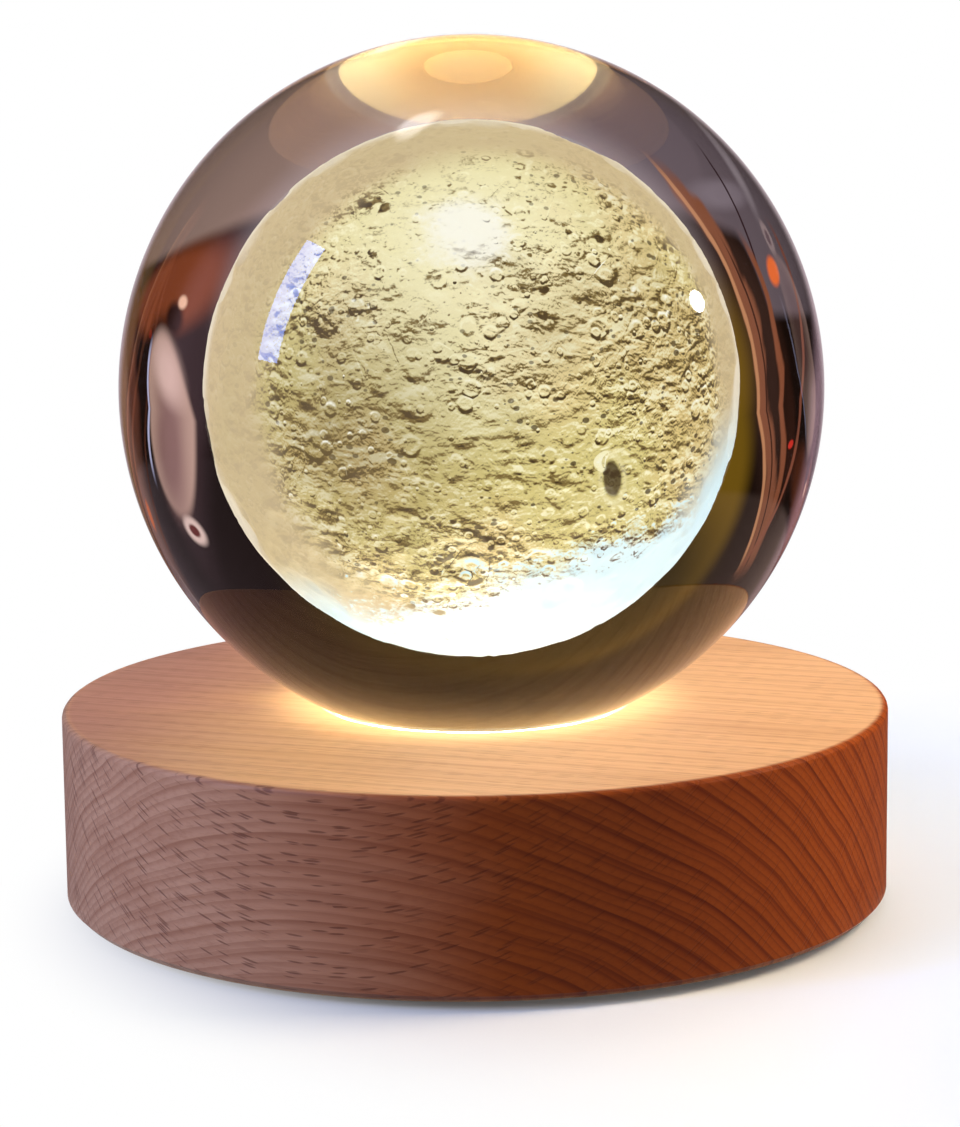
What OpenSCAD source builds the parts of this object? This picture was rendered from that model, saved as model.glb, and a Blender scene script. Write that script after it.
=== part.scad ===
// Moon lamp: a solid crystal ball with a moon engraved at its middle, standing in
// the light well of a round beech base that holds a ring of warm LEDs.
// Millimetres, +Z up, the front is -Y and the power inlet is at the back, at +Y.
// The origin is on the surface that the lamp stands on, under the middle of the base.

/* [Crystal ball] */
// Diameter of the crystal ball
ball_d = 80; // [72:0.5:88]
// Diameter of the moon engraved in the ball
moon_d = 40.6; // [32:0.2:48]
// Number of craters on the moon
crater_count = 200; // [60:1:240]
// Radius of the widest crater
crater_r_max = 4.2; // [3:0.1:6]
// Radius of the smallest crater
crater_r_min = 1.2; // [1:0.1:2]
// Depth of the widest crater below the plain round it
crater_depth = 0.7; // [0.3:0.05:1]
// Height of the widest crater's rim above the plain
rim_h = 0.25; // [0.1:0.05:0.5]

/* [Wooden base] */
// Diameter of the wooden base
base_d = 95; // [92:0.5:120]
// Height of the wooden base
base_h = 22; // [20:0.5:30]
// Radius that the top edge is sanded to
top_round = 0.7; // [0.3:0.1:2]
// Chamfer on the bottom edge
bottom_chamfer = 0.8; // [0.3:0.1:2]
// Diameter of the light well under the ball
well_d = 33; // [28:0.5:36]
// Width of the sloping land that the ball sits on
seat_land = 1.6; // [1:0.1:2.4]
// Gap between the ball and its land
seat_gap = 0.25; // [0.1:0.05:0.3]
// Width of the wooden rim round the bottom cover
rim_w = 8.55; // [6:0.05:12]
// Width of the ledge that the bottom cover lies against
cover_ledge = 5.8; // [5.2:0.1:7]
// Wood left at the back between the inlet channel and the outside
inlet_wall = 3; // [2.4:0.1:4]

/* [Light] */
// Thickness of the frosted window over the LEDs
window_t = 2; // [1.5:0.1:3]
// Free height between the ball's underside and the window
window_gap = 1.2; // [0.6:0.1:2]
// Width of the wooden ledge that the window lies against
window_ledge = 2.5; // [1.5:0.1:3]
// Height of the white reflector between the window and the LED board
reflector_h = 3.4; // [2.6:0.1:4]
// Width of the LED board's edge that lies against the wood
board_ledge = 6; // [5:0.1:7]
// Thickness of the LED board
led_board_t = 1.6; // [1:0.1:2]
// Number of LEDs
led_count = 6; // [3:1:9]
// Radius of the circle that the LEDs stand on
led_ring_r = 8.5; // [7:0.1:10]

/* [Power inlet] */
// Width of the inlet board
inlet_board_w = 17; // [16:0.5:18]
// Length of the inlet board
inlet_board_l = 15; // [14:0.5:16]
// Thickness of the inlet board
inlet_board_t = 1.2; // [0.8:0.1:1.6]
// Gap between the inlet board and the flat on the LED board
board_gap = 4.4; // [3.6:0.1:6]
// Width of the slot that the plug's body goes into
plug_slot_w = 13; // [12.6:0.1:14]
// Height of the slot that the plug's body goes into
plug_slot_h = 7.2; // [6.8:0.1:8]
// Diameter of the two leads over their insulation
lead_d = 1.3; // [1:0.1:1.6]
// How far the leads hang below the LED board
lead_drop = 3.6; // [3:0.1:4]

/* [Underside] */
// Thickness of the bottom cover
cover_t = 2.8; // [2:0.1:3.2]
// How far the cover lies inside the rim of the base
cover_inset = 0.2; // [0.1:0.1:0.4]
// Diameter of each foot pad
foot_d = 10; // [8:0.5:12]
// Thickness of each foot pad
foot_t = 1.2; // [1:0.1:2]
// Distance from the cover's edge to each foot pad
foot_inset = 4.8; // [3:0.1:8]

/* [Hidden] */
$fn = 96;
eps = 0.01;

// Fits
slip = 0.15;          // radial clearance of a piece that drops into a round pocket
screw_fit = 0.05;     // radial clearance of a screw in its hole
lead_fit = 0.05;      // radial clearance of a lead in its solder

// Levels, from the table up
wood_bottom = foot_t - cover_inset;
cover_top = foot_t + cover_t;
wood_top = wood_bottom + base_h;

// The seat is a cone that the ball touches half way up its land
ball_r = ball_d / 2;
well_r = well_d / 2;
mouth_r = well_r + seat_land;
seat_r = well_r + seat_land / 2;
seat_slope = asin(seat_r / ball_r);
seat_h = seat_land * tan(seat_slope);
ball_z = wood_top - seat_h / 2 + ball_r * cos(seat_slope) + seat_gap / cos(seat_slope);
ball_bottom = ball_z - ball_r;

// The light stack hangs under the ball
window_top = ball_bottom - window_gap;
window_bottom = window_top - window_t;
ceiling = window_bottom - reflector_h;
bore_r = well_r + window_ledge;
reflector_lip = 2.6;       // how far the reflector's foot reaches in under the well
led_board_r = bore_r + board_ledge;
led_board_bottom = ceiling - led_board_t;

// Radii of the base, from the outside in
base_r = base_d / 2;
rebate_r = base_r - rim_w;
cover_r = rebate_r - slip;
pocket_r = cover_r - cover_ledge;

// LEDs and resistors, as length, width and height
led_size = [3.5, 2.8, 0.7];
led_face = [2.5, 2.0, 0.1];
led_resistor = [3.2, 1.6, 0.6];
led_resistor_r = 12;
inlet_resistor = [1.6, 0.8, 0.45];

// Screws: shank radius, head radius, head height, length under the head
board_screw = [1.1, 2.2, 1.5, 5];
inlet_screw = [0.9, 1.7, 1.2, 4.5];
cover_screw = [1.2, 2.5, 1.4, 8];
led_screw_count = 3;
led_screw_r = (bore_r + led_board_r) / 2 + 0.3;
cover_screw_count = 4;
cover_screw_r = (rebate_r + pocket_r) / 2;
foot_count = 4;
foot_ring_r = cover_r - foot_inset - foot_d / 2;
screw_point = 1.2;

// USB-C receptacle: its mouth, shell, tongue and contacts
usb_mouth = [8.34, 2.56];
usb_wall = 0.3;
usb_shell_size = usb_mouth + 2 * usb_wall * [1, 1];
usb_length = 7.35;
usb_back = 1.8;
usb_tongue_size = [6.69, 0.7, 4.45];
usb_contact = [0.26, 0.06, 3.6];
usb_contact_count = 12;
usb_contact_pitch = 0.5;
usb_leg = [0.7, 1.1];
usb_leg_fit = 0.1;
channel_end = base_r - inlet_wall;
channel_w = inlet_board_w + 1.4;
usb_mouth_y = channel_end - 0.3;
usb_leg_y = usb_mouth_y - 2.2;
usb_leg_step = 3.4;
inlet_board_bottom = ceiling - inlet_board_t;
inlet_board_back = channel_end - 0.8;
inlet_board_front = inlet_board_back - inlet_board_l;
led_board_flat = min(led_board_r, inlet_board_front - board_gap);
usb_z = inlet_board_bottom - usb_shell_size[1] / 2;
inlet_screw_side = 2.4;    // from the inlet board's long edge to a screw
inlet_screw_front = 4.6;   // from its front edge to a screw
inlet_screw_x = inlet_board_w / 2 - inlet_screw_side;
inlet_screw_y = inlet_board_front + inlet_screw_front;

// Leads, from the LED board's pads to the inlet board's pads
lead_r = lead_d / 2;
lead_x = 2;
lead_pad_led = 2.5;        // from the LED board's flat to its pads
lead_pad_inlet = 1.8;      // from the inlet board's front edge to its pads
lead_y_led = led_board_flat - lead_pad_led;
lead_y_inlet = inlet_board_front + lead_pad_inlet;
lead_bend = 2.2;
lead_floor = led_board_bottom - lead_drop;
solder_r = lead_r + 0.55;
solder_h = 0.8;

// Moon
moon_r = moon_d / 2;
moon_plain = moon_r - rim_h;
moon_steps = 30;      // rings of points from a pole to the equator
cavity_gap = 0.05;
crater_skew = 4;      // above 1, small craters outnumber wide ones

// ---- Shared shapes ----

// Points of an arc in the plane, from angle a to angle b
function arc(centre, r, a, b, steps) =
    [for (i = [0:steps]) let (t = a + (b - a) * i / steps) centre + r * [cos(t), sin(t)]];

function fraction(x) = x - floor(x);

function sum(values, i = 0, total = 0) =
    i == len(values) ? total : sum(values, i + 1, total + values[i]);

module round_ring(count, r, start = 0)
    for (i = [0:count - 1])
        rotate(start + i * 360 / count)
            translate([r, 0, 0])
                children();

// A flat shape with round ends
module stadium(w, h) {
    square([w - h, h], center = true);
    for (side = [-1, 1])
        translate([side * (w - h) / 2, 0])
            circle(d = h);
}

// A flat plate with rounded corners
module rounded_plate(w, l, t, r) {
    linear_extrude(t)
        union() {
            square([w - 2 * r, l], center = true);
            square([w, l - 2 * r], center = true);
            for (x = [-1, 1], y = [-1, 1])
                translate([x * (w / 2 - r), y * (l / 2 - r)])
                    circle(r);
        }
}

module block(size)
    translate([-size[0] / 2, -size[1] / 2, 0])
        cube(size);

module cross_recess(r)
    for (turn = [0, 90])
        rotate(turn)
            translate([-r * 0.62, -r * 0.12, -eps])
                cube([r * 1.24, r * 0.24, r * 0.4]);

// A screw that points up, with its head's face at z = 0
module pan_screw(s) {
    difference() {
        union() {
            cylinder(r1 = s[1] * 0.82, r2 = s[1], h = s[2] * 0.35);
            translate([0, 0, s[2] * 0.35])
                cylinder(r = s[1], h = s[2] * 0.65);
            translate([0, 0, s[2] - eps])
                cylinder(r = s[0], h = s[3] - screw_point + eps);
            translate([0, 0, s[2] + s[3] - screw_point])
                cylinder(r1 = s[0], r2 = s[0] * 0.2, h = screw_point);
        }
        cross_recess(s[1]);
    }
}

module countersunk_screw(s) {
    difference() {
        union() {
            cylinder(r1 = s[1], r2 = s[0], h = s[2]);
            translate([0, 0, s[2] - eps])
                cylinder(r = s[0], h = s[3] - screw_point + eps);
            translate([0, 0, s[2] + s[3] - screw_point])
                cylinder(r1 = s[0], r2 = s[0] * 0.2, h = screw_point);
        }
        cross_recess(s[1]);
    }
}

// The blind hole that a screw cuts into the wood above z = 0
module pilot(s, under_head)
    translate([0, 0, -eps])
        cylinder(r = s[0] + screw_fit, h = under_head + 0.6 + eps);

module at_led_screws()
    round_ring(led_screw_count, led_screw_r, -90)
        children();

module at_cover_screws()
    round_ring(cover_screw_count, cover_screw_r, 45)
        children();

module at_inlet_screws()
    for (side = [-1, 1])
        translate([side * inlet_screw_x, inlet_screw_y, 0])
            children();

// ---- Crystal ball ----

// Solid crystal. The engraved zone at its middle is left out, as the moon fills it.
module crystal_ball()
    color("lightcyan", 0.3)
        translate([0, 0, ball_z])
            difference() {
                sphere(ball_r, $fn = 200);
                sphere(moon_r + cavity_gap, $fn = 200);
            }

// Steps of low-discrepancy sequences: they scatter the craters without clumps or rows.
height_step = 0.7548776662;
turn_step = 0.5698402910;
size_step = 0.6180339887;

// Each crater is the unit vector to its middle, and its radius.
craters = [
    for (i = [1:crater_count])
        let (
            z = 1 - 2 * fraction(i * height_step),
            turn = 360 * fraction(i * turn_step),
            across = sqrt(1 - z * z)
        )
        [
            [across * cos(turn), across * sin(turn), z],
            crater_r_min
                + (crater_r_max - crater_r_min) * pow(fraction(i * size_step), crater_skew)
        ]
];

// Height of one crater of radius r above the plain, t radii from its middle: a bowl
// with a flat floor, then a rim that dies away one radius outside it
function crater_height(t, r) =
    let (share = sqrt(r / crater_r_max))
    t < 1
        ? share * (rim_h * pow(t, 4) - crater_depth * (1 - pow(t, 4)))
        : share * rim_h * pow(2 - t, 2);

// Height of the moon's surface above the plain, in the direction of the unit vector d
function moon_relief(d) = sum([
    for (c = craters)
        let (t = norm(d - c[0]) * moon_r / c[1])
        if (t < 2) crater_height(t, c[1])
]);

// A ring has four points more than the one before it, up to the equator, and then
// four less, so the mesh is about as fine everywhere. Ring 0 is the north pole.
function ring_quarter(ring) = min(ring, 2 * moon_steps - ring);

function ring_first(ring) =
    let (last = 4 * moon_steps * moon_steps + 1, m = ring_quarter(ring))
    ring == 0 ? 0
    : ring <= moon_steps ? 1 + 2 * m * (m - 1)
    : last - 2 * m * (m + 1);

function moon_index(ring, quarter, j) =
    let (m = ring_quarter(ring))
    ring_first(ring) + (m == 0 ? 0 : (quarter * m + j) % (4 * m));

moon_points = [
    for (ring = [0:2 * moon_steps])
        let (m = ring_quarter(ring), lat = 90 - 90 * ring / moon_steps)
        for (j = [0:max(0, 4 * m - 1)])
            let (
                lon = m == 0 ? 0 : 90 * j / m,
                d = [cos(lat) * cos(lon), cos(lat) * sin(lon), sin(lat)]
            )
            d * min(moon_r, moon_plain + moon_relief(d))
];

// The band between two rings of a half, as triangles that point at the pole or away from it
moon_faces = [
    for (south = [false, true], i = [0:moon_steps - 1], quarter = [0:3], j = [0:i])
        let (
            near = south ? 2 * moon_steps - i : i,
            far = south ? near - 1 : near + 1,
            a = moon_index(near, quarter, j),
            b = moon_index(near, quarter, j + 1),
            c = moon_index(far, quarter, j),
            d = moon_index(far, quarter, j + 1),
            faces = j < i ? [[a, d, c], [a, b, d]] : [[a, d, c]]
        )
        for (f = faces)
            south ? [f[2], f[1], f[0]] : f
];

module engraved_moon()
    color("khaki")
        translate([0, 0, ball_z])
            polyhedron(moon_points, moon_faces, convexity = 4);

// ---- Wooden base ----

// Half section through the turned and bored blank
base_section = concat(
    [[rebate_r, wood_bottom],
     [base_r - bottom_chamfer, wood_bottom],
     [base_r, wood_bottom + bottom_chamfer]],
    arc([base_r - top_round, wood_top - top_round], top_round, 0, 90, 4),
    [[mouth_r, wood_top],
     [well_r, wood_top - seat_h],
     [well_r, window_top],
     [bore_r, window_top],
     [bore_r, ceiling],
     [pocket_r, ceiling],
     [pocket_r, cover_top],
     [rebate_r, cover_top]]
);

// The channel that the inlet board lies in, milled from below
module inlet_channel()
    translate([-channel_w / 2, 0, cover_top - eps])
        cube([channel_w, channel_end, ceiling - cover_top + eps]);

module plug_slot()
    translate([0, channel_end - eps, usb_z])
        rotate([-90, 0, 0])
            linear_extrude(inlet_wall + 1)
                stadium(plug_slot_w, plug_slot_h);

module wood_base()
    color("burlywood")
        difference() {
            rotate_extrude()
                polygon(base_section);
            inlet_channel();
            plug_slot();
            at_led_screws()
                translate([0, 0, ceiling])
                    pilot(board_screw, board_screw[3] - led_board_t);
            at_inlet_screws()
                translate([0, 0, ceiling])
                    pilot(inlet_screw, inlet_screw[3] - inlet_board_t);
            at_cover_screws()
                translate([0, 0, cover_top])
                    pilot(cover_screw, cover_screw[2] + cover_screw[3] - cover_t);
        }

// ---- Light ----

module light_window()
    color("ivory", 0.8)
        translate([0, 0, window_bottom])
            cylinder(r = bore_r - slip, h = window_t);

module light_reflector()
    color("white")
        rotate_extrude()
            polygon([
                [well_r - reflector_lip, ceiling],
                [bore_r - slip, ceiling],
                [bore_r - slip, window_bottom],
                [well_r, window_bottom]
            ]);

module led_board()
    color("whitesmoke")
        translate([0, 0, led_board_bottom])
            difference() {
                cylinder(r = led_board_r, h = led_board_t);
                translate([-led_board_r, led_board_flat, -eps])
                    cube([2 * led_board_r, led_board_r, led_board_t + 2 * eps]);
                at_led_screws()
                    translate([0, 0, -eps])
                        cylinder(r = board_screw[0] + screw_fit, h = led_board_t + 2 * eps);
            }

module led_chips()
    color("lightyellow")
        round_ring(led_count, led_ring_r, 90)
            translate([0, 0, ceiling])
                difference() {
                    block(led_size);
                    translate([0, 0, led_size[2] - led_face[2]])
                        block(led_face + [0, 0, eps]);
                }

module led_resistors()
    color("dimgray")
        for (side = [-1, 1])
            translate([side * led_resistor_r, 0, led_board_bottom - led_resistor[2]])
                rotate(90)
                    block(led_resistor);

module led_board_screws()
    color("silver")
        at_led_screws()
            translate([0, 0, led_board_bottom - board_screw[2]])
                pan_screw(board_screw);

// ---- Leads ----

// Down from the LED board, along under it, and up to the inlet board
function lead_route(x) = concat(
    [[x, lead_y_led, led_board_bottom]],
    [for (p = arc([lead_y_led + lead_bend, lead_floor + lead_bend], lead_bend, 180, 270, 4))
        [x, p[0], p[1]]],
    [for (p = arc([lead_y_inlet - lead_bend, lead_floor + lead_bend], lead_bend, 270, 360, 4))
        [x, p[0], p[1]]],
    [[x, lead_y_inlet, inlet_board_bottom]]
);

// The direction of a route at its point i
function heading(route, i) =
    let (
        a = route[max(0, i - 1)],
        b = route[min(len(route) - 1, i + 1)],
        d = b - a
    )
    d / norm(d);

// A tube of radius r along a route that lies in a plane of constant x
module tube(route, r, sides = 10) {
    points = [
        for (i = [0:len(route) - 1], s = [0:sides - 1])
            let (
                h = i == 0 ? [0, 0, -1] : i == len(route) - 1 ? [0, 0, 1] : heading(route, i),
                across = [1, 0, 0],
                up = cross(h, across),
                a = 360 * s / sides
            )
            route[i] + r * (cos(a) * across + sin(a) * up)
    ];
    walls = [
        for (i = [0:len(route) - 2], s = [0:sides - 1])
            let (a = i * sides + s, b = i * sides + (s + 1) % sides)
            [a, b, b + sides, a + sides]
    ];
    first = [for (s = [sides - 1:-1:0]) s];
    last = [for (s = [0:sides - 1]) (len(route) - 1) * sides + s];
    polyhedron(points, concat([first], walls, [last]), convexity = 4);
}

module lead_red()
    color("firebrick")
        tube(lead_route(-lead_x), lead_r);

module lead_black()
    color("black")
        tube(lead_route(lead_x), lead_r);

module solder_joint()
    difference() {
        translate([0, 0, -solder_h])
            cylinder(r1 = lead_r + 0.25, r2 = solder_r, h = solder_h);
        translate([0, 0, -solder_h - eps])
            cylinder(r = lead_r + lead_fit, h = solder_h + 2 * eps);
    }

module solder_joints()
    color("silver")
        for (x = [-lead_x, lead_x]) {
            translate([x, lead_y_led, led_board_bottom])
                solder_joint();
            translate([x, lead_y_inlet, inlet_board_bottom])
                solder_joint();
        }

// ---- Power inlet ----

module at_usb_legs()
    for (side = [-1, 1], back = [0, usb_leg_step])
        translate([side * (usb_shell_size[0] / 2 - usb_wall / 2), usb_leg_y - back, 0])
            children();

module inlet_board()
    color("darkgreen")
        difference() {
            translate([0, inlet_board_front + inlet_board_l / 2, inlet_board_bottom])
                rounded_plate(inlet_board_w, inlet_board_l, inlet_board_t, 1);
            at_inlet_screws()
                translate([0, 0, inlet_board_bottom - eps])
                    cylinder(r = inlet_screw[0] + screw_fit, h = inlet_board_t + 2 * eps);
            at_usb_legs()
                translate([0, 0, inlet_board_bottom - eps])
                    block([usb_leg[0] + 2 * usb_leg_fit, usb_leg[1] + 2 * usb_leg_fit,
                           inlet_board_t + 2 * eps]);
        }

module inlet_resistors()
    color("dimgray")
        for (side = [-1, 1])
            translate([side * 2.2, inlet_screw_y, inlet_board_bottom - inlet_resistor[2]])
                rotate(90)
                    block(inlet_resistor);

module inlet_screws()
    color("silver")
        at_inlet_screws()
            translate([0, 0, inlet_board_bottom - inlet_screw[2]])
                pan_screw(inlet_screw);

// Along the port's axis, from its back wall to its mouth
module along_port(from_back, length)
    translate([0, usb_mouth_y - usb_length + from_back, usb_z])
        rotate([-90, 0, 0])
            linear_extrude(length)
                children();

module usb_shell()
    color("silver")
        union() {
            difference() {
                along_port(0, usb_length)
                    stadium(usb_shell_size[0], usb_shell_size[1]);
                along_port(-eps, usb_length + 2 * eps)
                    stadium(usb_mouth[0], usb_mouth[1]);
            }
            at_usb_legs()
                translate([0, 0, usb_z])
                    block([usb_wall, usb_leg[1], ceiling - usb_z]);
        }

module usb_tongue()
    color("black")
        union() {
            along_port(0, usb_back)
                stadium(usb_mouth[0] - 2 * eps, usb_mouth[1] - 2 * eps);
            along_port(usb_back - eps, usb_tongue_size[2] + eps)
                square([usb_tongue_size[0], usb_tongue_size[1]], center = true);
        }

module usb_contacts()
    color("gold")
        for (i = [0:usb_contact_count - 1], side = [-1, 1])
            along_port(usb_back, usb_contact[2])
                translate([(i - (usb_contact_count - 1) / 2) * usb_contact_pitch,
                           side * (usb_tongue_size[1] + usb_contact[1]) / 2])
                    square([usb_contact[0], usb_contact[1]], center = true);

// ---- Underside ----

module bottom_cover()
    color([0.12, 0.12, 0.12])
        difference() {
            translate([0, 0, foot_t])
                cylinder(r = cover_r, h = cover_t);
            at_cover_screws()
                translate([0, 0, foot_t]) {
                    translate([0, 0, -eps])
                        cylinder(r1 = cover_screw[1] + screw_fit, r2 = cover_screw[0] + screw_fit,
                                 h = cover_screw[2] + eps);
                    cylinder(r = cover_screw[0] + screw_fit, h = cover_t + eps);
                }
        }

module cover_screws()
    color("silver")
        at_cover_screws()
            translate([0, 0, foot_t])
                countersunk_screw(cover_screw);

module foot_pads()
    color("dimgray")
        round_ring(foot_count, foot_ring_r)
            rotate_extrude()
                polygon([
                    [0, 0], [foot_d / 2 - 0.3, 0], [foot_d / 2, 0.3],
                    [foot_d / 2, foot_t], [0, foot_t]
                ]);

crystal_ball();
engraved_moon();
wood_base();
light_window();
light_reflector();
led_board();
led_chips();
led_resistors();
led_board_screws();
lead_red();
lead_black();
solder_joints();
inlet_board();
inlet_resistors();
inlet_screws();
usb_shell();
usb_tongue();
usb_contacts();
bottom_cover();
cover_screws();
foot_pads();
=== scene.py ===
import math

import bpy
import numpy as np
from bpy.props import FloatProperty, FloatVectorProperty, IntProperty, PointerProperty
from mathutils import Matrix, Vector


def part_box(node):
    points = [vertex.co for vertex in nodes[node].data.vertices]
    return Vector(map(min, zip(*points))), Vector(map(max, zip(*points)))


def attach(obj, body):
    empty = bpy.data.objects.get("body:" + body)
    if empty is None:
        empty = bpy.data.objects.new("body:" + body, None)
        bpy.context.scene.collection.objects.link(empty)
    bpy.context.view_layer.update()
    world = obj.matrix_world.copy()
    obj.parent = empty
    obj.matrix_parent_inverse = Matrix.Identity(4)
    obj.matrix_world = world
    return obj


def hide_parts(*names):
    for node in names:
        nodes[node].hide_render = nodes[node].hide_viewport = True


bl_info = {
    "name": "Moon Lamp",
    "version": (1, 0, 0),
    "blender": (4, 5, 0),
    "location": "3D View > Sidebar > Moon Lamp",
    "description": "A crystal ball with an engraved moon on a lit wooden base",
    "category": "Add Mesh",
}

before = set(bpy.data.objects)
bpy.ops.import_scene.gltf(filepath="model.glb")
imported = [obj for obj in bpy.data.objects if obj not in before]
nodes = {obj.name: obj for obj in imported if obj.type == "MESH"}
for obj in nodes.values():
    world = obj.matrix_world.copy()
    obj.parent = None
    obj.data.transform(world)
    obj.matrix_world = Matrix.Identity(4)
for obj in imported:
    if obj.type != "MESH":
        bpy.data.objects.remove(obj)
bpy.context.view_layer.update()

MM = 0.001
ball_low, ball_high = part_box("crystal_ball")
BALL_CENTRE = (ball_low + ball_high) / 2
BALL_RADIUS = (ball_high.z - ball_low.z) / 2
wood_low, wood_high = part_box("wood_base")
WOOD_RADIUS = (wood_high.x - wood_low.x) / 2
WOOD_TOP = wood_high.z
window_low, window_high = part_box("light_window")
WINDOW_RADIUS = (window_high.x - window_low.x) / 2


def display(red, green, blue):
    """A colour as a screen shows it, 0 to 255, turned into the linear RGB of shaders."""

    def linear(value):
        value /= 255
        return value / 12.92 if value <= 0.04045 else ((value + 0.055) / 1.055) ** 2.4

    return linear(red), linear(green), linear(blue)


# -------- shader maths


class Wire:
    """The output of a shader node. Arithmetic on it adds Math nodes."""

    def __init__(self, finish, socket):
        self.finish = finish
        self.socket = socket

    def other(self, output):
        """Another output of the same node."""
        return Wire(self.finish, self.socket.node.outputs[output])

    def math(self, operation, *values):
        return self.finish.node("Math", dict(enumerate(values)), operation=operation)

    def __add__(self, other):
        return self.math("ADD", self, other)

    def __sub__(self, other):
        return self.math("SUBTRACT", self, other)

    def __mul__(self, other):
        return self.math("MULTIPLY", self, other)

    def __truediv__(self, other):
        return self.math("DIVIDE", self, other)

    def __pow__(self, other):
        return self.math("POWER", self, other)

    def __rsub__(self, other):
        return self.math("SUBTRACT", other, self)

    __radd__ = __add__
    __rmul__ = __mul__

    def higher(self, other):
        return self.math("MAXIMUM", self, other)

    def fraction(self):
        return self.math("FRACT", self)

    def root(self):
        return self.math("SQRT", self)


class Graph:
    """Adds nodes to a node tree."""

    def __init__(self, tree):
        self.tree = tree

    def plug(self, socket, value):
        if isinstance(value, Wire):
            self.tree.links.new(value.socket, socket)
        elif hasattr(value, "__len__") and len(value) == 3 and socket.type == "RGBA":
            socket.default_value = (*value, 1.0)
        else:
            socket.default_value = value

    def node(self, kind, sockets=None, output=0, **settings):
        """Adds a node: its settings first, then the values or wires of its sockets."""
        node = self.tree.nodes.new("ShaderNode" + kind)
        for name, value in settings.items():
            setattr(node, name, value)
        for name, value in (sockets or {}).items():
            self.plug(node.inputs[name], value)
        return Wire(self, node.outputs[output])

    def place(self):
        return self.node("TexCoord", output="Object")

    def vector(self, operation, *values, output=0):
        return self.node("VectorMath", dict(enumerate(values)), output, operation=operation)

    def parts(self, vector):
        """The x, y and z of a vector."""
        return [self.node("SeparateXYZ", {0: vector}, axis) for axis in range(3)]

    def noise(self, place, scale, detail=3.0, roughness=0.5, distortion=0.0):
        names = ("Vector", "Scale", "Detail", "Roughness", "Distortion")
        values = (place, scale, detail, roughness, distortion)
        return self.node("TexNoise", dict(zip(names, values)))

    def cells(self, place, scale, output="Distance", **settings):
        return self.node("TexVoronoi", {"Vector": place, "Scale": scale}, output, **settings)

    def step(self, value, low, high, from_value=0.0, to_value=1.0):
        """Turns smoothly from one value to another as value goes from low to high."""
        return self.node(
            "MapRange",
            {0: value, 1: low, 2: high, 3: from_value, 4: to_value},
            interpolation_type="SMOOTHSTEP",
        )

    def mix(self, factor, one, other, blend="MIX"):
        return self.node(
            "Mix", {0: factor, 6: one, 7: other}, 2, data_type="RGBA", blend_type=blend
        )

    def bump(self, height, distance, strength=1.0):
        return self.node(
            "Bump", {"Height": height, "Distance": distance, "Strength": strength}
        )

    def either(self, factor, one, other):
        """A mix of two shaders."""
        return self.node("MixShader", {0: factor, 1: one, 2: other})

    def surface(self, shader, output="Material Output"):
        self.plug(self.tree.nodes[output].inputs["Surface"], shader)


class Finish(Graph):
    """A procedural material, built round its principled shader."""

    def __init__(self, name, **sockets):
        self.material = bpy.data.materials.new(name)
        self.material.use_nodes = True
        super().__init__(self.material.node_tree)
        self.shader = self.tree.nodes["Principled BSDF"]
        self.set(**sockets)

    def set(self, **sockets):
        """Sets sockets of the principled shader, such as base_color=... for Base Color."""
        for name, value in sockets.items():
            words = name.replace("_", " ").title().replace("Ior", "IOR")
            self.plug(self.shader.inputs[words], value)


def speckled(name, scale, dark, light, roughness, spread=0.0, **sockets):
    """A finish whose colour follows a fine noise, and its roughness if that has a spread."""
    finish = Finish(name, roughness=roughness, **sockets)
    speck = finish.noise(finish.place(), scale)
    finish.set(base_color=finish.mix(speck, dark, light))
    if spread:
        finish.set(roughness=roughness + spread * speck)
    return finish


def dress(finish, *names):
    """Gives each of these CAD nodes the one finish all over."""
    for name in names:
        mesh = nodes[name].data
        mesh.materials.clear()
        mesh.materials.append(finish.material)


# -------- modelling helpers


def deselect():
    if bpy.context.object and bpy.context.object.mode != "OBJECT":
        bpy.ops.object.mode_set(mode="OBJECT")
    bpy.ops.object.select_all(action="DESELECT")


def add_round(radius, cuts):
    """A ball without poles: a cube, cut into small squares and cast onto a sphere."""
    deselect()
    bpy.ops.mesh.primitive_cube_add(size=2 * radius)
    bpy.ops.object.mode_set(mode="EDIT")
    bpy.ops.mesh.subdivide(number_cuts=cuts)
    bpy.ops.object.mode_set(mode="OBJECT")
    ball = bpy.context.object
    points = np.zeros(len(ball.data.vertices) * 3)
    ball.data.vertices.foreach_get("co", points)
    # Equal angles between the cuts, so that the squares are as large at the corners.
    points = radius * np.tan(points / radius * math.pi / 4)
    ball.data.vertices.foreach_set("co", points)
    cast = ball.modifiers.new("cast", "CAST")
    cast.cast_type = "SPHERE"
    cast.factor = 1.0
    cast.radius = 0.0
    cast.use_radius_as_size = False
    cast.size = radius
    bpy.ops.object.modifier_apply(modifier="cast")
    bpy.ops.object.shade_smooth()
    ball.location = BALL_CENTRE
    return ball


def finished(name, body, replaced, finish):
    """Names the active piece, puts its place in its mesh and hangs it on its body."""
    piece = bpy.context.object
    bpy.ops.object.transform_apply(location=True, rotation=True, scale=True)
    piece.name = name
    piece.data.name = name
    piece.data.materials.clear()
    piece.data.materials.append(finish.material)
    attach(piece, body)
    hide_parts(*replaced)
    return piece


# -------- settings


class CrystalSettings(bpy.types.PropertyGroup):
    tint: FloatVectorProperty(
        name="Tint",
        description="Colour of the crystal",
        subtype="COLOR",
        default=(1.0, 1.0, 1.0),
    )
    streak: FloatVectorProperty(
        name="Streaks",
        description="Colour of the faint streaks in the crystal",
        subtype="COLOR",
        default=(0.97, 0.975, 0.98),
    )
    refraction: FloatProperty(
        name="Refraction",
        description="Refractive index of the crystal",
        default=1.5168,
        min=1.0,
        max=2.0,
    )


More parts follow.
